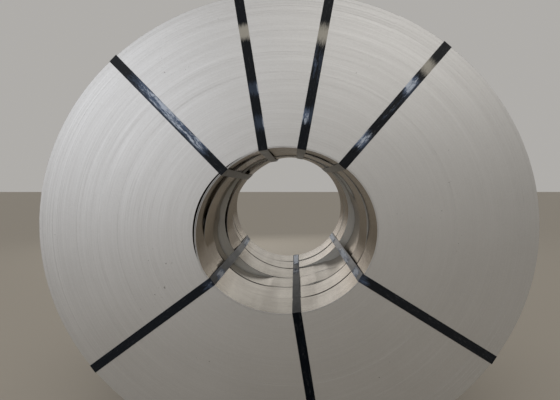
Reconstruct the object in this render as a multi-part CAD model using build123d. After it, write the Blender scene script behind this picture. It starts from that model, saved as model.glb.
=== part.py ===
from build123d import *

import math
import os

# Bundle of slit steel coils, lying on the floor with its eye level.
# X runs across the front, Y along the eye from the front coil to the back one, Z is up.
# The origin is on the floor, below the middle of the bundle. All sizes are in millimetres.
# Directions round the eye are in degrees, from +X towards +Z.

# Driving dimensions of the slit coils
coil_count = 6
strip_width = 176.0
strip_thickness = 2.0
eye_half_width = 321.0
eye_half_height = 289.0
outer_half_width = 865.0
outer_half_height = 811.0

# From the front coil to the back one: how much smaller each is outside than the largest, and how
# its own eye differs from the common one, as shifts and as growths of its half width and height
outer_shortfalls = [0.0, 3.0, 0.0, 2.0, 4.0, 0.0]
eye_shifts_across = [0.0, -1.0, 6.0, 21.5, -2.0, -1.5]
eye_shifts_up = [0.0, 3.0, 4.0, 5.0, 7.0, 15.0]
eye_growths_across = [0.0, -5.0, 4.0, -11.5, -8.0, -10.5]
eye_growths_up = [0.0, -2.0, -2.0, -3.0, 4.0, 6.0]

# The outer end of each coil's strip: its direction, and the angle over which its step runs out
strip_end_directions = [62.0, 118.0, 25.0, 150.0, 86.0, 41.0]
strip_end_run = 60.0

# By coil, inner turns that came loose and sag into the eye: direction, half the angle they span
# and sag
loose_turn_spans = {0: [(157.0, 50.0)], 1: [(147.0, 40.0), (68.0, 12.0)], 3: [(160.0, 58.0)]}
loose_turn_sags = {0: [17.0], 1: [20.0, 6.0], 3: [42.0]}

# By coil, places where the wall of the eye is bent: direction, half the angle it spans and depth,
# outwards or, if negative, inwards
eye_bend_spans = {
    0: [(152.0, 40.0)],
    1: [(-138.0, 40.0), (-48.0, 32.0)],
    2: [(143.0, 22.0), (-140.0, 46.0), (-43.0, 30.0), (-20.0, 52.0)],
    3: [(-43.0, 30.0), (-20.0, 52.0)],
}
eye_bend_depths = {0: [-4.5], 1: [9.0, 5.0], 2: [-9.0, 31.0, 32.0, 27.0], 3: [32.0, 27.0]}

# Driving dimensions of the straps and their crimped seals
strap_width = 32.0
strap_thickness = 1.0
strap_bend_radius = 1.0
strap_clearance = 0.3
strap_tail_length = 150.0
seal_length = 50.0
seal_thickness = 1.0
seal_side_clearance = 0.2
seal_position = 0.3
crimp_depth = 5.0
crimp_spacing = 22.0

# Each strap's direction, and how far its line passes from the middle of the eye
strap_directions = {
    "upper_left": 134.3,
    "top_left": 99.0,
    "top_right": 79.6,
    "upper_right": 49.3,
    "lower_right": -31.7,
    "bottom": -80.9,
    "lower_left": -143.5,
}
strap_misses = {
    "upper_left": -3.8,
    "top_left": -26.2,
    "top_right": 9.1,
    "upper_right": 5.1,
    "lower_right": -3.4,
    "bottom": 0.8,
    "lower_left": 7.1,
}

bundle_length = coil_count * strip_width
front = -bundle_length / 2
back = bundle_length / 2
axis_height = outer_half_height


class Oval:
    """An upright oval in the plane across the eye, placed from the middle of the common eye."""

    def __init__(self, half_width, half_height, across=0.0, up=0.0):
        self.half_width = half_width
        self.half_height = half_height
        self.across = across
        self.up = up

    def grown(self, growth):
        return Oval(self.half_width + growth, self.half_height + growth, self.across, self.up)

    def moved(self, distance, direction):
        angle = math.radians(direction)
        across = self.across + distance * math.cos(angle)
        up = self.up + distance * math.sin(angle)
        return Oval(self.half_width, self.half_height, across, up)

    def bent(self, depth, direction, half_span):
        """A copy that lies depth outside this oval in one direction, out to half_span away.

        A negative depth puts it inside.
        """
        drift = depth / (1 - math.cos(math.radians(half_span)))
        return self.grown(depth - drift).moved(drift, direction)

    def face(self):
        return Pos(self.across, self.up) * Ellipse(self.half_width, self.half_height)

    def reach(self, direction, miss):
        """How far along a line the oval lies, or 0 if the line doesn't meet it.

        The line has this direction and passes the middle of the common eye at this distance.
        """
        angle = math.radians(direction)
        along_x = math.cos(angle) / self.half_width
        along_z = math.sin(angle) / self.half_height
        start_x = (miss * math.sin(angle) - self.across) / self.half_width
        start_z = (-miss * math.cos(angle) - self.up) / self.half_height
        square = along_x**2 + along_z**2
        cross = start_x * along_x + start_z * along_z
        inside = cross**2 - square * (start_x**2 + start_z**2 - 1)
        return (math.sqrt(inside) - cross) / square if inside > 0 else 0.0


class SlitCoil:
    """One slit coil: where it lies along the eye, and the ovals that bound its turns."""

    def __init__(self, index):
        common_eye = Oval(eye_half_width, eye_half_height)
        shortfall = outer_shortfalls[index]
        outer = Oval(outer_half_width, outer_half_height).grown(-shortfall)
        self.start = front + index * strip_width
        self.end = self.start + strip_width
        self.outer = outer.moved(-shortfall, 90)
        self.strip_end = strip_end_directions[index]
        eye = Oval(0, 0, eye_shifts_across[index], eye_shifts_up[index])
        eye.half_width = eye_half_width + eye_growths_across[index]
        eye.half_height = eye_half_height + eye_growths_up[index]
        self.eye = eye
        bend_spans = eye_bend_spans.get(index, [])
        bends = list(zip(eye_bend_depths.get(index, []), bend_spans))
        self.dents = [common_eye.bent(depth, *span) for depth, span in bends if depth < 0]
        self.bulges = [common_eye.bent(depth, *span) for depth, span in bends if depth > 0]
        loose = zip(loose_turn_sags.get(index, []), loose_turn_spans.get(index, []))
        self.loose = [common_eye.bent(-sag, *span) for sag, span in loose]

    def strip_end_step(self):
        """What the outermost turn leaves bare beyond the end of the strip."""
        below = self.outer.bent(-strip_thickness, self.strip_end, strip_end_run)
        size = 2 * outer_half_width
        beyond = Rot(Z=self.strip_end) * Pos(0, size / 2) * Rectangle(2 * size, size)
        return (self.outer.face() - below.face()) & beyond

    def outline(self):
        """The coil's end face: all its turns, with the gaps behind the loose ones."""
        hole = self.eye.face()
        for dent in self.dents:
            hole = hole & dent.face()
        for bulge in self.bulges:
            hole += bulge.face()
        ring = self.outer.face() - self.strip_end_step() - hole
        for turn in self.loose:
            ring += hole & (turn.grown(strip_thickness).face() - turn.face())
        return ring

    def solid(self):
        plane = Plane(origin=(0, self.end, axis_height), x_dir=(1, 0, 0), z_dir=(0, -1, 0))
        return extrude(plane * self.outline(), amount=strip_width)

    def inner_reach(self, direction, miss):
        tight = min(oval.reach(direction, miss) for oval in [self.eye] + self.dents)
        wall = max([tight] + [bulge.reach(direction, miss) for bulge in self.bulges])
        return min([wall] + [turn.reach(direction, miss) for turn in self.loose])

    def outer_reach(self, direction, miss):
        return self.outer.reach(direction, miss)


def taut_line(points):
    """The points that a taut strap touches as it passes above all of them."""
    kept = []
    for point in points:
        while len(kept) > 1:
            (y0, h0), (y1, h1) = kept[-2:]
            if (y1 - y0) * (point[1] - h0) < (h1 - h0) * (point[0] - y0):
                break
            kept.pop()
        kept.append(point)
    return kept


class Strap:
    """A steel strap round the wall of the bundle, through the eye, in one flat plane."""

    def __init__(self, direction, miss, coils):
        angle = math.radians(direction)
        across = (math.sin(angle), 0, -math.cos(angle))
        origin = (miss * across[0], 0, axis_height + miss * across[2])
        self.plane = Plane(origin=origin, x_dir=(0, 1, 0), z_dir=across)
        self.seal_middle = front + seal_position * bundle_length
        edges = [miss - strap_width / 2, miss, miss + strap_width / 2]
        inner = []
        outer = []
        for coil in coils:
            low = min(coil.inner_reach(direction, edge) for edge in edges) - strap_clearance
            high = max(coil.outer_reach(direction, edge) for edge in edges) + strap_clearance
            inner += [(coil.start, -low), (coil.end, -low)]
            outer += [(coil.start, high), (coil.end, high)]
        self.inner = [(y, -height) for y, height in taut_line(inner)]
        self.outer = taut_line(outer)
        self.outer_height = max(height for y, height in outer)

    def slab(self, face, width):
        return extrude(self.plane * face, amount=width / 2, both=True)

    def plate(self, length, width, bottom, thickness):
        """A flat plate along the outer run, centred where the seal sits."""
        middle = self.outer_height + bottom + thickness / 2
        return self.slab(Pos(self.seal_middle, middle) * Rectangle(length, thickness), width)

    def solid(self):
        within = make_face(Polyline(*self.inner, *reversed(self.outer), close=True))
        around = offset(within, amount=strap_thickness, kind=Kind.INTERSECTION)
        corners = [corner for corner in around.vertices() if abs(corner.X) > back]
        band = fillet(corners, radius=strap_bend_radius) - within
        tail = self.plate(strap_tail_length, strap_width, strap_thickness, strap_thickness)
        return self.slab(band, strap_width) + tail

    def seal(self):
        layers = 2 * strap_thickness
        channel_width = strap_width + 2 * seal_side_clearance
        sleeve_width = channel_width + 2 * seal_thickness
        sleeve = self.plate(seal_length, sleeve_width, 0, layers + seal_thickness)
        sleeve -= self.plate(seal_length, channel_width, 0, layers)
        for along in (-crimp_spacing / 2, crimp_spacing / 2):
            for side in (-sleeve_width / 2, sleeve_width / 2):
                sleeve -= self.crimp(along, side)
        return sleeve

    def crimp(self, along, side):
        """The pointed bite that the crimping tool takes out of the seal's edge."""
        side_length = crimp_depth * math.sqrt(2)
        height = 4 * (strap_thickness + seal_thickness)
        place = self.plane * Pos(self.seal_middle + along, self.outer_height, side) * Rot(Y=45)
        return place * Box(side_length, height, side_length)


def save(name, shape):
    shape.label = name
    export_step(shape, os.path.join("parts", name + ".step"))


os.makedirs("parts", exist_ok=True)
coils = [SlitCoil(index) for index in range(coil_count)]
for number, coil in enumerate(coils, start=1):
    save(f"slit_coil_{number}", coil.solid())
for place, direction in strap_directions.items():
    strap = Strap(direction, strap_misses[place], coils)
    save(f"strap_{place}", strap.solid())
    save(f"seal_{place}", strap.seal())
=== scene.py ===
# %% [markdown]
# # A bundle of slit steel coils
#
# The real object is six coils of steel strip, slit from one wide coil and pushed together so that
# their eyes line up, and held by flat steel straps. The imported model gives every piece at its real
# size. This notebook gives them their looks: the edges of the turns on the ends, the rolled sheen
# of the strip and the paint of the straps. It starts by loading the model, which nothing here
# moves.

# %% Load the frame
import functools
import math
import random

import bmesh
import bpy
from mathutils import Matrix, Vector


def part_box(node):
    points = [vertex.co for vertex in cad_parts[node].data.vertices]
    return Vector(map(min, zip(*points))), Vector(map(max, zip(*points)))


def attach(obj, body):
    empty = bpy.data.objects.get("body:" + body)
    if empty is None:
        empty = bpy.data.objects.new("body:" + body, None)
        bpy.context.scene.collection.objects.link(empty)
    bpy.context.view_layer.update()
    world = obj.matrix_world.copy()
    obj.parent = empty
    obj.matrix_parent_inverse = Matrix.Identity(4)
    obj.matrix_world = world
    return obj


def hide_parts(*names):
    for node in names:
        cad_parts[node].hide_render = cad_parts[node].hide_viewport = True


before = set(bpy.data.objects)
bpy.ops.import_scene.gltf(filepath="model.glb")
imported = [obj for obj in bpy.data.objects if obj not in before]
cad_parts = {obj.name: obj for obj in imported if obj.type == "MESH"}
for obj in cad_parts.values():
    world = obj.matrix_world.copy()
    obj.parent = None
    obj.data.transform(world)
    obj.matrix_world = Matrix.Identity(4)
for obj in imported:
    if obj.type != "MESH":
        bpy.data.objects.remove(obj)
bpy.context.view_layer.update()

# %% [markdown]
# ## The camera
#
# A camera is set from measurements rather than by eye: the two rims of the eye and the edges of the
# strips are ovals of known size, and only one position and lens makes them land where they do in a
# picture. It stands a little to the right of the eye and above it, and looks slightly down.

# %% Place the camera
front_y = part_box("slit_coil_1")[0].y
eye_height = 0.811
picture_width = 560
focal_length_in_pixels = 414.8
camera_data = bpy.data.cameras.new("camera")
camera_data.sensor_fit = "HORIZONTAL"
camera_data.sensor_width = 36
camera_data.lens = camera_data.sensor_width * focal_length_in_pixels / picture_width
camera = bpy.data.objects.new("camera", camera_data)
bpy.context.scene.collection.objects.link(camera)
camera.location = (0.040, front_y - 1.427, eye_height + 0.181)
turn_right, look_down, roll = (math.radians(angle) for angle in (-2.13, 2.89, 0.07))
aim = Matrix.Rotation(-turn_right, 4, "Z") @ Matrix.Rotation(math.pi / 2 - look_down, 4, "X")
camera.rotation_euler = (aim @ Matrix.Rotation(-roll, 4, "Z")).to_euler()
bpy.context.scene.camera = camera
print("camera", list(camera.location), "lens", camera_data.lens)

# %% [markdown]
# ## The ovals that bound a coil
#
# A coil this heavy settles under its own weight, so its outside and its eye are ovals, a little
# lower than they are wide. Where inner turns came loose and sag, or where the eye bulges outwards,
# the wall follows a second oval that is slightly larger or smaller and slid to one side. The same
# few numbers as in the model describe them, so the dressed coils keep its sizes. They could be
# traced as curves, but an oval needs only four numbers, and its distance from the middle is one
# formula.
#
# The turns in one eye don't all lie along it: some lean, and stand a few millimetres out at one end
# only. So each end of a coil has its own ovals, and the wall runs straight from one to the other.

# %% Ovals, as distances from the middle of the eye
class Oval:
    """An oval across the eye, which knows how far it lies from the middle in any direction.

    Directions are in radians, apart from those that describe a bend, which are in degrees.
    """

    def __init__(self, half_width, half_height, across=0.0, up=0.0):
        self.half_width = half_width
        self.half_height = half_height
        self.across = across
        self.up = up

    def grown(self, growth):
        return Oval(self.half_width + growth, self.half_height + growth, self.across, self.up)

    def moved(self, distance, direction):
        across = self.across + distance * math.cos(direction)
        up = self.up + distance * math.sin(direction)
        return Oval(self.half_width, self.half_height, across, up)

    def bent(self, depth, direction, half_span):
        """A copy that lies depth outside this oval in one direction, out to half_span away."""
        drift = depth / (1 - math.cos(math.radians(half_span)))
        return self.grown(depth - drift).moved(drift, math.radians(direction))

    def reach(self, direction):
        along_x = math.cos(direction) / self.half_width
        along_z = math.sin(direction) / self.half_height
        start_x = -self.across / self.half_width
        start_z = -self.up / self.half_height
        square = along_x**2 + along_z**2
        cross = start_x * along_x + start_z * along_z
        inside = cross**2 - square * (start_x**2 + start_z**2 - 1)
        return (math.sqrt(inside) - cross) / square if inside > 0 else 0.0


def angle_from(middle, direction):
    """How far one direction is turned from another, by half a turn at most."""
    return (direction - middle + math.pi) % (2 * math.pi) - math.pi


# The bundle stands on the floor, so its eye is half of its own height above it
nominal_eye = Oval(0.321, 0.289)
nominal_outside = Oval(0.865, eye_height)
roll_thickness = nominal_outside.half_width - nominal_eye.half_width
print("the roll is", roll_thickness, "m thick at the side")

# %% Each coil's own sizes, from the front one to the back one
strip_width = 0.176
strip_thickness = 0.002
outside_shortfalls = [0.000, 0.003, 0.000, 0.002, 0.004, 0.000]
eye_shifts_across = [0.0000, -0.0010, 0.0060, 0.0215, -0.0020, -0.0015]
eye_shifts_up = [0.000, 0.003, 0.004, 0.005, 0.007, 0.015]
eye_growths_across = [0.0000, -0.0050, 0.0040, -0.0115, -0.0080, -0.0105]
eye_growths_up = [0.000, -0.002, -0.002, -0.003, 0.004, 0.006]
strip_end_directions = [62, 118, 25, 150, 86, 41]
strip_end_run = 60
print("the strips together are", len(eye_shifts_up) * strip_width, "m wide")

# %% Where the walls are bent and turns came loose
# Each is written as depth, direction and half the angle that it spans. A negative depth is inwards
eye_bends = {
    0: [(-0.0045, 152, 40)],
    1: [(0.009, -138, 40), (0.005, -48, 32)],
    2: [(-0.009, 143, 22), (0.031, -140, 46), (0.032, -43, 30), (0.027, -20, 52)],
    3: [(0.032, -43, 30), (0.027, -20, 52)],
}
loose_turns = {
    0: [[(-0.017, 157, 50)], [(-0.013, 157, 47)]],
    1: [[(-0.020, 147, 40), (-0.006, 68, 12)]],
    3: [[(-0.042, 160, 58)]],
}

# From a loose turn's face to the next one's where they touch, with a little air between them
turn_pitch = 1.02 * strip_thickness

# How far a coil's loose turns lean towards one side on their way to the back, and that direction
lean_of_turns = {0: (0.0125, math.radians(-171))}

# More bends for one end of an eye only, and how far across and up the front end of an eye is moved
bends_in_front = {
    2: [(0.0004, -90, 13)],
    3: [(-0.031, 168, 50), (0.0006, -72, 14), (0.0345, -43, 30), (0.0295, -20, 52)],
}
bends_behind = {
    0: [(-0.0045, -94, 24)],
    1: [(0.0004, -90, 13)],
    2: [(0.0004, -90, 13)],
    4: [(-0.013, -130, 60)],
}
leans_in_front = {3: (-0.0155, -0.0035)}

# An eye drawn in as far as its neighbour's, so that the two walls are flush
narrow_eyes = {4: Oval(0.312, 0.2965, -0.0015, 0.015)}

# By coil, where a painted shadow line darkens the back edge in the eye: direction, half span,
# strength
joint_shadow_lines = {
    0: [(-46, 40, 0.9)],
    1: [(-130, 36, 1.0), (-50, 36, 0.5)],
    3: [(-112, 62, 1.0)],
    4: [(-55, 40, 0.7)],
}
print(sum(len(turns) for turns in loose_turns.values()), "loose turns")

# %% The walls of one coil
class CoilShape:
    """One slit coil: where its walls lie in each direction from the middle of the eye."""

    def __init__(self, index):
        shortfall = outside_shortfalls[index]
        self.start = front_y + index * strip_width
        self.end = self.start + strip_width
        self.outside = nominal_outside.grown(-shortfall).moved(-shortfall, math.pi / 2)
        self.strip_end = math.radians(strip_end_directions[index])
        step = (-strip_thickness, strip_end_directions[index], strip_end_run)
        self.below_strip_end = self.outside.bent(*step)
        eye = Oval(0, 0, eye_shifts_across[index], eye_shifts_up[index])
        eye.half_width = nominal_eye.half_width + eye_growths_across[index]
        eye.half_height = nominal_eye.half_height + eye_growths_up[index]
        across, up = leans_in_front.get(index, (0, 0))
        leaning = Oval(eye.half_width, eye.half_height, eye.across + across, eye.up + up)
        self.tight = {self.start: [leaning], self.end: [eye]}
        self.bulges = {self.start: [], self.end: []}
        for end, more in ((self.start, bends_in_front), (self.end, bends_behind)):
            for bend in eye_bends.get(index, []) + more.get(index, []):
                walls = self.tight if bend[0] < 0 else self.bulges
                walls[end].append(nominal_eye.bent(*bend))
        if index in narrow_eyes:
            for walls in self.tight.values():
                walls.append(narrow_eyes[index])
        lean = lean_of_turns.get(index, (0, 0))
        turns = loose_turns.get(index, [])
        in_front = [[nominal_eye.bent(*place) for place in places] for places in turns]
        behind = [[oval.moved(*lean) for oval in places] for places in in_front]
        self.loose = {self.start: in_front, self.end: behind}

    @functools.cache
    def wall(self, end, direction):
        """The innermost turn at one end, where nothing is loose."""
        reach = min(oval.reach(direction) for oval in self.tight[end])
        return max([reach] + [bulge.reach(direction) for bulge in self.bulges[end]])

    @functools.cache
    def turn(self, end, number, direction):
        """A loose turn's face in the eye at one end; number 0 is the innermost one."""
        sagging = [oval.reach(direction) for oval in self.loose[end][number]]
        reach = min([self.wall(end, direction)] + sagging)
        if number > 0:
            reach = max(reach, self.turn(end, number - 1, direction) + turn_pitch)
        return reach

    @functools.cache
    def wound(self, end, direction):
        """The tightly wound turns at one end, behind the loose ones."""
        reach = self.wall(end, direction)
        count = len(self.loose[end])
        if count > 0:
            reach = max(reach, self.turn(end, count - 1, direction) + turn_pitch)
        return reach

    @functools.cache
    def outer(self, direction):
        """The outermost turn, which leaves the turn below it bare beyond the strip's end."""
        beyond = (direction - self.strip_end) % (2 * math.pi)
        reach = self.outside.reach(direction)
        if beyond < math.pi:
            reach = min(reach, self.below_strip_end.reach(direction))
        return reach


coil_shapes = [CoilShape(index) for index in range(len(strip_end_directions))]
upper_left = math.radians(147)
print("tight turns at the upper left of each eye lie at",
      [round(shape.wound(shape.start, upper_left), 4) for shape in coil_shapes])

# %% [markdown]
# ## Winding a coil
#
# A coil is a closed ring whose cross-section is the same all round, apart from the slow change of
# its ovals. A screw of one long strip would give the turns too, but hundreds of them would only be
# thin gaps that nothing shows. Here one circle of points is extruded again and again across the
# end, the outer wall and the eye, and each new circle is slid in or out along its rays to where its
# turn lies. Two points of each circle stand close together at the strip's end, where the outermost
# turn stops with a step of its own thickness.

# %% A circle of points that is extruded and slid
points_round = 320

# Half the angle over which the outermost turn steps down at the strip's end, in radians
half_step = 0.0004

# The slots of a coil's finishes
edges_of_turns, rolled_face, edges_within_painted_light = 0, 1, 2


class Winding:
    """A ring that grows by one circle of points at a time."""

    def __init__(self, model, strip_end):
        self.model = model
        self.share = model.verts.layers.float["share"]
        self.joint_shadow = model.verts.layers.float["joint_shadow"]
        circle = bmesh.ops.create_circle(
            model, segments=points_round, radius=1, matrix=Matrix.Rotation(math.pi / 2, 4, "X"))
        self.points = circle["verts"]
        edges = [edge for point in self.points for edge in point.link_edges]
        self.edges = list(dict.fromkeys(edges))
        self.first_edges = self.edges
        if strip_end is not None:
            self.close_in_on(strip_end)

    def close_in_on(self, strip_end):
        """Move the two nearest points to the two sides of the step at the strip's end."""

        def beyond(point):
            return angle_from(strip_end, math.atan2(point.co.z, point.co.x))

        before = max((point for point in self.points if beyond(point) <= 0), key=beyond)
        after = min((point for point in self.points if beyond(point) > 0), key=beyond)
        for point, angle in ((before, strip_end - half_step), (after, strip_end + half_step)):
            point.co = (math.cos(angle), 0, math.sin(angle))

    def slide(self, reach, y, share, joint_shadow=None):
        """Move the newest circle to y, and each of its points out to where its turn lies.

        Directions are rounded, so that what was worked out for one circle is found again.
        """
        for point in self.points:
            direction = round(math.atan2(point.co.z, point.co.x), 6)
            distance = reach(direction)
            point.co = (distance * math.cos(direction), y, distance * math.sin(direction))
            point[self.share] = share
            point[self.joint_shadow] = joint_shadow(direction) if joint_shadow else 0

    def extrude(self, reach, y, share, finish, joint_shadow=None):
        new = bmesh.ops.extrude_edge_only(self.model, edges=self.edges)["geom"]
        self.points = [item for item in new if isinstance(item, bmesh.types.BMVert)]
        self.edges = [item for item in new if isinstance(item, bmesh.types.BMEdge)]
        for face in new:
            if isinstance(face, bmesh.types.BMFace):
                face.material_index = finish
        self.slide(reach, y, share, joint_shadow)

    def close(self, finish):
        ends = self.first_edges + self.edges
        for face in bmesh.ops.bridge_loops(self.model, edges=ends)["faces"]:
            face.material_index = finish


# %% [markdown]
# ## The ends of the turns
#
# On a real end the turns don't lie in one plane. The strip wanders as it is wound, so some turns
# stand back by up to a millimetre, one by one or many together. That is real relief, which catches
# light from the side, so it is made of steps in the mesh. The front end of the first coil and the
# back end of the last one show in full. Each gets bands of turns whose depths are drawn at random
# from a fixed seed, so that every run gives the same coil. They are all cut inwards, so the ends
# keep their plane and the straps still lie on them. Between two coils only the turns at the eye
# show, and those stand back further, which leaves a joint there.

# %% Bands of turns at different depths
deepest_band = 0.0010
turns_in_a_band = [1, 1, 2, 2, 3, 4, 5, 7]

# The step in depth from one band to the next, as shares of the deepest band
smallest_step, largest_step = 0.03, 0.30

# How far the rims of the eye and of the outside are rounded off
edge_rounding = 0.0007


def bands_of_turns(seed):
    """Where each band starts, as a share of the roll's thickness, and how far it stands back."""
    draw = random.Random(seed)
    bands = []
    place = edge_rounding
    depth = deepest_band / 3
    while place < roll_thickness - 2 * strip_thickness:
        bands.append((place / roll_thickness, depth))
        place += strip_thickness * draw.choice(turns_in_a_band)
        step = draw.uniform(smallest_step, largest_step) * deepest_band
        upwards = depth - step > 0 and (depth + step > deepest_band or draw.random() < 0.5)
        depth += -step if upwards else step
    bands.append((1 - edge_rounding / roll_thickness, 0))
    return bands


def lie_of_turns(shape, end, share, offset=0.0):
    """How far a turn lies from the middle, for a share of the way from the eye to the outside."""

    def reach(direction):
        inner = shape.wound(end, direction)
        return inner + share * (shape.outer(direction) - inner) + offset

    return reach


print(len(bands_of_turns(0)), "bands of turns on the front end")

# %% [markdown]
# ## Edges at the joints, and loose turns
#
# The joint between two coils shows in the eye as a bright edge in some places and as a dark line in
# others. The knives left the front edge of each strip curled outwards a little, so it catches the
# light, and the ends of the turns inside the joints are painted lighter than the open ends. The
# shade in the joint is painted as a dark line along the back edges. The curl is made of two more
# circles of points, and the painted shadow is a number stored on the back ones, which the finish of
# the strip reads later.
#
# A turn that came loose has a gap behind it that is open from end to end. Pushing the wall inwards
# would only dent it, so such a turn is a thin ring of its own, which lies against the wall
# elsewhere.

# %% The end of a coil
# Between two coils the turns stand back by this much more, and this share of the roll is made
stand_back = 0.004
share_in_joints = 0.12


def bands_of_end(seed, is_open):
    """All the bands of an open end. Between coils only the first ones show, and stand back more."""
    bands = bands_of_turns(seed)
    if is_open:
        return bands
    shown = [(share, depth + stand_back) for share, depth in bands if share < share_in_joints]
    return shown + bands[-1:]


def add_end(winding, shape, bands, y, inwards, from_outside, finish):
    """The end of a coil: its bands, from the eye outwards or from the outside inwards."""
    steps = []
    for (share, depth), (next_share, _) in zip(bands, bands[1:]):
        steps += [(share, depth), (next_share, depth)]
    if from_outside:
        steps.reverse()
    for share, depth in steps:
        winding.extrude(lie_of_turns(shape, y, share), y + inwards * depth, share, finish)


print(len(bands_of_end(1, False)), "bands of turns in a joint")

# %% The painted shadow line along a back edge
# Each back edge has a faint painted shadow. A line of it is full in its middle and fades towards
# its ends
faint_joint_shadow = 0.2
joint_shadow_fade = 1.6


def joint_shadow_line(index):
    """How strong the painted shadow line along a coil's back edge is in each direction."""

    def strength(direction):
        found = faint_joint_shadow
        for middle, half_span, most in joint_shadow_lines.get(index, []):
            away = abs(angle_from(math.radians(middle), direction)) / math.radians(half_span)
            found = max(found, most * min(1, joint_shadow_fade - joint_shadow_fade * away))
        return found

    return strength


print("oil at the bottom of each back edge:",
      [round(joint_shadow_line(index)(-math.pi / 2), 2) for index in range(len(coil_shapes))])

# %% A loose turn
# How far from the rim the last circle of points of an edge is, and where the painted shadow has
# faded out
end_of_edge = 0.010
end_of_joint_shadow = 0.018


def add_loose_turn(model, shape, number, joint_shadow):
    """A turn as a strip of its own, so that the gap behind it is open from end to end."""
    rounding = strip_thickness / 5
    turn = Winding(model, None)
    start, end = shape.start, shape.end
    thin, thick = rounding, strip_thickness - rounding
    corners = [
        (thin, start, 0, edges_of_turns, None),
        (thick, start, 0, edges_of_turns, None),
        (strip_thickness, start, rounding, edges_of_turns, None),
        (strip_thickness, end, -rounding, rolled_face, None),
        (thick, end, 0, edges_of_turns, None),
        (thin, end, 0, edges_of_turns, None),
        (0, end, -rounding, edges_of_turns, joint_shadow),
        (0, end, -end_of_edge, rolled_face, joint_shadow),
        (0, end, -end_of_joint_shadow, rolled_face, None),
    ]

    def at(end, offset):
        return lambda direction: shape.turn(end, number, direction) + offset

    turn.slide(at(start, 0), start + rounding, 0)
    for offset, place, inwards, finish, shadow_line in corners:
        turn.extrude(at(place, offset), place + inwards, 0, finish, shadow_line)
    turn.close(rolled_face)


# %% Wind one coil
# The innermost turn's edge, as how far it lies outside the wall and how far it is from the rim
curled_edge = [(0.0011, 0), (0.0004, 0.004), (0, end_of_edge)]
straight_edge = [(0, 0), (0, 0.006), (0, end_of_edge)]

# The bands of a front end are drawn with the coil's own number, those of a back end from here on
first_back_seed = 10


def wind_coil(index):
    """The mesh of one coil: out over its front, back along the outside and forward in the eye."""
    shape = coil_shapes[index]
    model = bmesh.new()
    model.verts.layers.float.new("share")
    model.verts.layers.float.new("joint_shadow")
    is_first, is_last = index == 0, index == len(coil_shapes) - 1
    front_bands = bands_of_end(index, is_first)
    back_bands = bands_of_end(first_back_seed + index, is_last)
    front_finish = edges_of_turns if is_first else edges_within_painted_light
    back_finish = edges_of_turns if is_last else edges_within_painted_light
    start, end = shape.start, shape.end
    outer = lie_of_turns(shape, start, 1)
    front_rim = start + front_bands[0][1] + edge_rounding
    back_rim = end - back_bands[0][1] - edge_rounding
    body = Winding(model, shape.strip_end)
    front_edge = straight_edge if is_first else curled_edge
    body.slide(lie_of_turns(shape, start, 0, front_edge[0][0]), front_rim, 0)
    add_end(body, shape, front_bands, start, 1, False, front_finish)
    body.extrude(outer, start + edge_rounding, 1, edges_of_turns)
    body.extrude(outer, end - edge_rounding, 1, rolled_face)
    add_end(body, shape, back_bands, end, -1, True, back_finish)
    # The back rim of the eye carries the painted shadow line
    for offset, inwards in straight_edge:
        finish = rolled_face if inwards else back_finish
        reach = lie_of_turns(shape, end, 0, offset)
        body.extrude(reach, back_rim - inwards, 0, finish, joint_shadow_line(index))
    body.extrude(lie_of_turns(shape, end, 0), back_rim - end_of_joint_shadow, 0, rolled_face)
    for offset, inwards in reversed(front_edge[1:]):
        reach = lie_of_turns(shape, start, 0, offset)
        body.extrude(reach, front_rim + inwards, 0, rolled_face)
    body.close(rolled_face)
    for number in range(len(shape.loose[start])):
        add_loose_turn(model, shape, number, joint_shadow_line(index) if number == 0 else None)
    bmesh.ops.translate(model, verts=model.verts, vec=(0, 0, eye_height))
    return model


# %% [markdown]
# ## The six coils
#
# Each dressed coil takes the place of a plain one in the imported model. Its faces are shaded as one
# smooth surface, apart from edges that bend sharply, such as the rims and the steps between bands.
# The editor can decide that from an angle each time it draws, but here the edges are marked once,
# so the marks stay in the mesh wherever it goes.

# %% Make the six coils
def sharpen(model, angle):
    """Smooth shading, except across edges that bend by more than this angle in degrees."""
    for face in model.faces:
        face.smooth = True
    for edge in model.edges:
        edge.smooth = edge.calc_face_angle(0) < math.radians(angle)


def make_piece(name, model):
    bmesh.ops.recalc_face_normals(model, faces=model.faces)
    mesh = bpy.data.meshes.new(name)
    model.to_mesh(mesh)
    triangles = sum(len(face.verts) - 2 for face in model.faces)
    model.free()
    piece = bpy.data.objects.new(name, mesh)
    bpy.context.scene.collection.objects.link(piece)
    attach(piece, "root")
    print(name, triangles, "triangles")
    return piece


coils = []
for index in range(len(coil_shapes)):
    model = wind_coil(index)
    sharpen(model, angle=25)
    piece = make_piece(f"wound_coil_{index + 1}", model)
    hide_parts(f"slit_coil_{index + 1}")
    coils.append(piece)

# %% [markdown]
# ## Arithmetic on nodes
#
# A finish is a small sum: streaks times a strength, plus clouds, mixed between two greys. Written
# as nodes it hides its own sense, so numbers inside a material are wrapped here, and plain
# arithmetic on them adds the nodes. Every other node comes from one method, which takes its
# settings and what goes into its sockets.

# %% A number inside a material, and the material that holds it
class Value:
    """A socket that carries a number, colour or vector. Arithmetic on numbers adds Math nodes."""

    def __init__(self, finish, socket):
        self.finish = finish
        self.socket = socket

    def math(self, operation, *numbers):
        sockets = dict(enumerate(numbers))
        return self.finish.node("ShaderNodeMath", {"operation": operation}, sockets)

    def __add__(self, other):
        return self.math("ADD", self, other)

    def __sub__(self, other):
        return self.math("SUBTRACT", self, other)

    def __rsub__(self, other):
        return self.math("SUBTRACT", other, self)

    def __mul__(self, other):
        return self.math("MULTIPLY", self, other)

    def __truediv__(self, other):
        return self.math("DIVIDE", self, other)

    def __pow__(self, other):
        return self.math("POWER", self, other)

    __radd__ = __add__
    __rmul__ = __mul__


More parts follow.
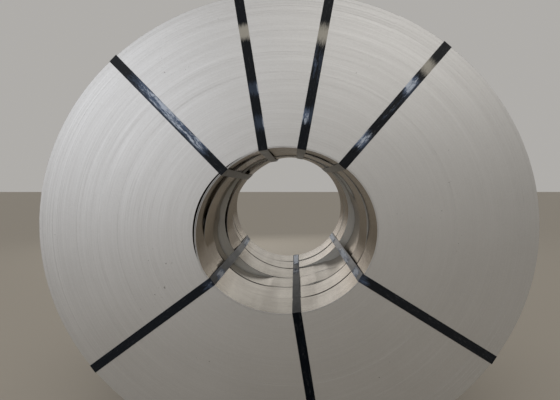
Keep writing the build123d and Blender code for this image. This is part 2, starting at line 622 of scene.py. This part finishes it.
class Finish:
    """A material, whose nodes all come from one method."""

    def __init__(self, name):
        self.material = bpy.data.materials.new(name)
        self.material.use_nodes = True
        self.tree = self.material.node_tree
        self.shader = self.tree.nodes["Principled BSDF"]

    def node(self, kind, settings=None, inputs=None, output=0):
        node = self.tree.nodes.new(kind)
        for name, setting in (settings or {}).items():
            setattr(node, name, setting)
        self.feed(node, inputs or {})
        return Value(self, node.outputs[output])

    def feed(self, node, inputs):
        for name, value in inputs.items():
            if isinstance(value, Value):
                self.tree.links.new(value.socket, node.inputs[name])
            else:
                node.inputs[name].default_value = value

    def noise(self, x, y, z, detail=2, roughness=0.5):
        """Noise, drawn out along a small coordinate. A number added to one gives another pattern."""
        place = self.node("ShaderNodeCombineXYZ", None, {"X": x, "Y": y, "Z": z})
        settings = {"Vector": place, "Scale": 1, "Detail": detail, "Roughness": roughness}
        return self.node("ShaderNodeTexNoise", None, settings)

    def ramp(self, value, low, high):
        """0 below low, 1 above high, and smooth between them."""
        settings = {"interpolation_type": "SMOOTHSTEP"}
        return self.node("ShaderNodeMapRange", settings, {"Value": value, 1: low, 2: high})

    def mix(self, share, first, second):
        """The first colour where the share is 0, and the second where it is 1.

        The node has a row of sockets for each kind of data: its colours are numbers 6 and 7, and
        output 2 is the mixed one.
        """
        sockets = {0: share}
        for number, colour in ((6, first), (7, second)):
            sockets[number] = (*colour, 1) if isinstance(colour, tuple) else colour
        return self.node("ShaderNodeMix", {"data_type": "RGBA"}, sockets, 2)

    def relief(self, height, depth):
        return self.node("ShaderNodeBump", None, {"Height": height, "Distance": depth})


def round_the_eye(finish):
    """Where a point is round the eye: the cosine and sine of its direction, y, and its reach."""
    place = finish.node("ShaderNodeTexCoord", output="Object")
    place = finish.node("ShaderNodeVectorMath", None, {0: place, 1: (0, 0, -eye_height)})
    x, y, z = (finish.node("ShaderNodeSeparateXYZ", None, {0: place}, axis) for axis in range(3))
    reach = (x * x + z * z) ** 0.5
    return x / reach, z / reach, y, reach


# %% [markdown]
# ## The steel on the ends
#
# An end is the edges of some 270 turns of strip. Each edge was cut by the same pair of round
# knives, but some turns are brighter or rougher than their neighbours, so the end shows fine rings
# that fade in and out on their way round. Noise gives them: it changes quickly from turn to turn
# and slowly round the eye. It reads the share that was stored while winding, so the rings follow
# the turns exactly, also where the eye is dented. A painted sheen gives them more contrast and
# brighter arcs at the upper left, and leaves them faint at the lower right. Faint clouds of oil and
# a few specks lie across them.

# %% Edges of the turns
def edges_finish(name, darkest, lightest):
    finish = Finish(name)
    across, up, y, reach = round_the_eye(finish)
    share = finish.node("ShaderNodeAttribute", {"attribute_name": "share"}, None, "Fac")
    turn = share * (roll_thickness / strip_thickness)
    broad = finish.noise(across * 0.7, up * 0.7, turn * 0.09, 3, 0.6)
    rings = finish.noise(across * 1.1, up * 1.1, turn * 0.45, 3, 0.7)
    single = finish.noise(across * 3.0, up * 3.0, turn * 1.7, 1)
    clouds = finish.noise(across * reach * 3.0, up * reach * 3.0, y, 4, 0.6)
    specks = finish.noise(across * reach * 120, up * reach * 120, y, 1)
    patches = finish.ramp(finish.noise(across * reach * 4, up * reach * 4, y + 3, 2), 0.58, 0.66)
    dark = finish.ramp(specks, 0.76, 0.79) * patches
    grain = finish.noise(across * reach * 260, up * reach * 260, y, 2, 0.6)
    streaks = broad * 0.25 + rings * 0.40 + single * 0.35
    bright = finish.ramp(finish.noise(across * 0.9, up * 0.9, turn * 0.55 + 9, 2), 0.60, 0.74)
    bright = bright * finish.ramp(broad, 0.45, 0.60)
    # Painted sheen: more contrast and brighter arcs in the rings towards the upper left
    clear = 0.45 + 0.55 * finish.ramp(up - across, -0.9, 0.9)
    uneven = (streaks - 0.5) * clear + (clouds - 0.5) * 0.25 + (grain - 0.5) * 0.25
    tone = finish.ramp(uneven, -0.25, 0.25)
    steel = finish.mix(tone, darkest, lightest)
    steel = finish.mix(bright * clear * 0.5, steel, tuple(1.12 * channel for channel in lightest))
    colour = finish.mix(dark * 0.7, steel, (0.10, 0.09, 0.08))
    roughness = 0.44 + (1 - tone) * 0.06 + (clouds - 0.5) * 0.08
    normal = finish.relief(streaks, 0.0002)
    shader = {"Base Color": colour, "Roughness": roughness, "Normal": normal, "Metallic": 1.0}
    finish.feed(finish.shader, shader)
    return finish.material


# %% [markdown]
# ## The rolled faces of the strip
#
# The eye and the outside show the flat of the strip, as it left the rolls. Rolling draws the
# surface out along the strip, so its fine lines run round the coil and blur what it mirrors across
# them. In the eye the strip is painted darker than on the outside, as painted shade, with a browner
# tint on the sides and a greyer one at the bottom, as painted reflection, and painted shadow lines
# along the joints. The noise here changes quickly along the eye and slowly round it.

# %% Rolled faces
def rolled_finish():
    finish = Finish("rolled_face")
    across, up, y, _ = round_the_eye(finish)
    share = finish.node("ShaderNodeAttribute", {"attribute_name": "share"}, None, "Fac")
    broad = finish.noise(across * 1.2, up * 1.2, y * 18, 3, 0.6)
    lines = finish.noise(across * 1.6, up * 1.6, y * 160, 4, 0.7)
    fine = finish.noise(across * 2.0, up * 2.0, y * 1400, 2, 0.7)
    clouds = finish.noise(across * 3.5, up * 3.5, y * 7, 4, 0.6)
    lengths = finish.noise(across * 5, up * 5, y * 1.5, 2)
    streaks = broad * 0.3 + lines * 0.25 + lengths * 0.45
    tone = finish.ramp(streaks + (clouds - 0.5) * 0.3, 0.30, 0.70)
    # Painted shade and reflection: the eye is darker than the outside, brown on the sides, grey
    # below
    lower = finish.ramp(0 - up, 0.35, 0.85)
    sides_with_painted_reflection = finish.mix(tone, (0.35, 0.306, 0.250), (0.49, 0.437, 0.367))
    bottom = finish.mix(tone, (0.25, 0.239, 0.218), (0.41, 0.395, 0.365))
    eye_with_painted_shade = finish.mix(lower, sides_with_painted_reflection, bottom)
    outside = finish.mix(tone, (0.44, 0.435, 0.425), (0.58, 0.575, 0.565))
    colour = finish.mix(share, eye_with_painted_shade, outside)
    # The dark line along each back edge in the eye is a painted shadow of the joint
    joint_shadow = finish.node("ShaderNodeAttribute", {"attribute_name": "joint_shadow"}, None, "Fac")
    joint_shadow = finish.ramp(joint_shadow, 0.1, 0.8)
    colour = finish.mix(joint_shadow, colour, (0.012, 0.010, 0.009))
    roughness = 0.12 + clouds * 0.12 + lines * 0.06 + joint_shadow * 0.55
    normal = finish.relief(lines * 0.3 + fine * 0.7, 0.0002)
    shader = {"Base Color": colour, "Roughness": roughness, "Normal": normal, "Metallic": 1.0}
    finish.feed(finish.shader, shader)

    # The strip also mirrors less at a glancing angle
    finish.shader.inputs["Specular Tint"].default_value = (0.64, 0.62, 0.60, 1)
    return finish.material


# %% Give the coils their three finishes
edge_steel = edges_finish("edges_of_turns", (0.540, 0.535, 0.525), (0.630, 0.627, 0.620))
# The ends inside the joints are a lighter copy of the same steel, painted light
joint_steel_painted_light = edges_finish("edges_within_painted_light", (0.68, 0.67, 0.63), (0.84, 0.85, 0.84))
face_steel = rolled_finish()
for coil in coils:
    for material in (edge_steel, face_steel, joint_steel_painted_light):
        coil.data.materials.append(material)
print([material.name for material in coils[0].data.materials])

# %% [markdown]
# ## Painted strapping
#
# The straps are hardened steel with a thin dark blue-black lacquer, glossy where it is whole. Coils
# rub it in places to a dull blue-grey, in long narrow scuffs along the middle of the strap, and in
# small spots down to the steel. Some of the scuffed stretches are painted reflections as well, and
# some stretches on the front end carry a painted pale reflection. The edges stay black, a painted
# shadow along them. Each strap has worn differently, so one function makes a paint for each, from
# how light and glossy it is and which stretches of it are scuffed or carry a painted reflection.
# The noise is drawn out along the strap, both on the ends, where it runs outwards, and in the eye,
# where it runs back.

# %% Strap paint
def strap_paint(name, direction, tone, gloss, scuff_and_reflection_places, painted_reflection_places):
    finish = Finish(name)
    across, up, y, reach = round_the_eye(finish)
    x, z = across * reach, up * reach
    cosine, sine = math.cos(math.radians(direction)), math.sin(math.radians(direction))
    along = x * cosine + z * sine - y
    side = x * sine - z * cosine
    long_scuffs = finish.noise(along * 14, side * 70, y + direction, 4, 0.65)
    fine_scuffs = finish.noise(along * 90, side * 260, y + direction, 3, 0.7)
    dents = finish.noise(along * 9, side * 12, y + direction, 2)
    flakes = finish.noise(along * 18, side * 110, y + direction + 5, 4, 0.65)

    def hump(start, end, most):
        peak = (start + end) / 2
        return (finish.ramp(along, start, peak) - finish.ramp(along, peak, end)) * most

    # The listed stretches are partly real scuffs and partly painted reflections
    scuffs_and_reflections = sum(hump(*place) for place in scuff_and_reflection_places)
    # Scuffs and bare spots fade out towards the strap's edges, which stay black as a painted shadow
    middle = 1 - finish.ramp(side.math("ABSOLUTE", side), 0.009, 0.0155)
    scuffed = long_scuffs * 0.55 + fine_scuffs * 0.20 + dents * 0.25 + scuffs_and_reflections
    scuffed = finish.ramp(scuffed, 0.58, 0.88) * (0.3 + middle * 0.7)
    bare = flakes * 0.5 + fine_scuffs * 0.3 + dents * 0.2 + scuffs_and_reflections * 0.6
    bare = finish.ramp(bare, 0.66, 0.76) * middle
    flecks = finish.ramp(flakes * 0.4 + fine_scuffs * 0.6, 0.52, 0.68)
    black = tuple(channel * tone for channel in (0.0045, 0.0060, 0.0085))
    colour = finish.mix(flecks * 0.6, black, (0.052, 0.054, 0.058))
    colour = finish.mix(scuffed, colour, (0.105, 0.145, 0.230))
    colour = finish.mix(bare, colour, (0.46, 0.51, 0.59))
    # A pale warm grey over the listed stretches is a painted reflection
    if painted_reflection_places:
        painted_reflection = sum(hump(*place) for place in painted_reflection_places) + flakes * 0.4 + fine_scuffs * 0.4
        painted_reflection = finish.ramp(painted_reflection, 0.55, 1.05)
        colour = finish.mix(painted_reflection, colour, (0.42, 0.40, 0.35))
    roughness = 0.24 + scuffed * 0.22 + long_scuffs * 0.10
    normal = finish.relief(long_scuffs * 0.3 + fine_scuffs * 0.1 + dents * 0.6, 0.0030)
    shader = {"Base Color": colour, "Roughness": roughness, "Normal": normal}
    finish.feed(finish.shader, shader | {"Metallic": bare * 0.5})
    finish.shader.inputs["IOR"].default_value = gloss
    return finish.material


# %% Paint the straps and their seals
# By strap: direction, lightness, gloss as the lacquer's IOR, and the stretches that are scuffed
# blue-grey, partly as painted reflections, and those that carry a painted pale reflection, as
# start, end and strength. They are measured along the strap, outwards on the front end and towards
# it in the eye, and the eye's front rim is at about 0.84
wear_and_reflections_of_straps = {
    "upper_left": (134.3, 1.4, 1.22, [(0.88, 1.36, 0.42), (0.84, 1.02, 0.20)], []),
    "top_left": (99.0, 1.2, 1.20, [(0.86, 0.96, 0.34), (0.98, 1.07, 0.42)], [(1.17, 1.27, 0.7)]),
    "top_right": (79.6, 1.2, 1.20, [(0.87, 0.99, 0.31), (0.95, 1.25, 0.16)], [(1.14, 1.28, 0.6)]),
    "upper_right": (
        49.3, 1.0, 1.25,
        [(0.87, 1.01, 0.35), (1.00, 1.20, 0.14), (1.13, 1.24, 0.42)],
        [(1.21, 1.32, 0.6)],
    ),
    "lower_right": (
        -31.7, 1.2, 1.28,
        [(0.80, 0.90, 0.22), (0.66, 0.82, 0.56), (0.12, 0.68, 0.46), (-0.34, 0.10, 0.62)],
        [],
    ),
    "bottom": (-80.9, 0.8, 1.07, [(-0.34, 0.12, 0.66), (0.06, 0.30, 0.32)], []),
    "lower_left": (
        -143.5, 1.6, 1.20,
        [(0.80, 0.90, 0.22), (0.60, 0.82, 0.44), (-0.30, 0.20, 0.50)],
        [],
    ),
}
for place, wear in wear_and_reflections_of_straps.items():
    paint = strap_paint("paint_" + place, *wear)
    for name in ("strap_" + place, "seal_" + place):
        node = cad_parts[name]
        node.data.materials.clear()
        node.data.materials.append(paint)
print(len(wear_and_reflections_of_straps), "straps painted")

# %% [markdown]
# ## Floor and light
#
# The floor is pale and slightly warm, and the steel mirrors it in the lower half of the end. Two
# wide soft lamps in front give the upper half its sheen, the left one a little cooler. A third one
# behind the bundle shines through the eye, so that the lower wall of the eye is bright and its
# sides stay dark. A fourth stands lower, behind and to the left, and brightens the wall at the
# lower right. Large lamps suit polished metal, because it shows the lamp itself: a small one would
# be a spot.

# %% Floor
floor_mesh = bpy.data.meshes.new("floor")
floor = bpy.data.objects.new("floor", floor_mesh)
bpy.context.scene.collection.objects.link(floor)
ground = bmesh.new()
bmesh.ops.create_grid(ground, x_segments=1, y_segments=1, size=30)
ground.to_mesh(floor_mesh)
ground.free()
floor_paint = Finish("floor")
floor_paint.feed(floor_paint.shader, {"Base Color": (0.48, 0.437, 0.372, 1), "Roughness": 0.7})
floor_mesh.materials.append(floor_paint.material)
print("floor", tuple(floor.dimensions))

# %% Lamps and world
def soft_lamp(name, place, aim, width, height, radiance, colour):
    data = bpy.data.lights.new(name, "AREA")
    data.shape = "RECTANGLE"
    data.size, data.size_y = width, height
    data.energy = radiance * math.pi * width * height
    data.color = colour
    lamp = bpy.data.objects.new(name, data)
    lamp.location = place
    lamp.rotation_euler = (Vector(aim) - Vector(place)).to_track_quat("-Z", "Y").to_euler()
    lamp.visible_camera = False
    bpy.context.scene.collection.objects.link(lamp)
    print(name, round(data.energy, 1), "W")


soft_lamp("left_front", (-2.4, -4.2, 2.1), (-0.3, -0.5, 1.0), 2.4, 3.0, 1.68, (0.90, 0.93, 1.0))
soft_lamp("high_front", (1.4, -4.2, 2.9), (0.4, -0.5, 1.1), 3.0, 1.6, 1.55, (1.0, 0.98, 0.95))
soft_lamp("behind", (-0.7, 5.0, 2.0), (0, 0.5, 0.9), 4.4, 1.8, 0.84, (1.0, 0.99, 0.96))
soft_lamp("behind_left", (-0.75, 4.8, 1.25), (0.2, 0, 0.7), 0.9, 1.2, 0.70, (1.0, 0.97, 0.965))
world = bpy.data.worlds.new("world")
bpy.context.scene.world = world
world.use_nodes = True
background = world.node_tree.nodes["Background"]
background.inputs["Color"].default_value = (0.43, 0.418, 0.40, 1)
background.inputs["Strength"].default_value = 1.0
bpy.context.scene.view_settings.view_transform = "Standard"
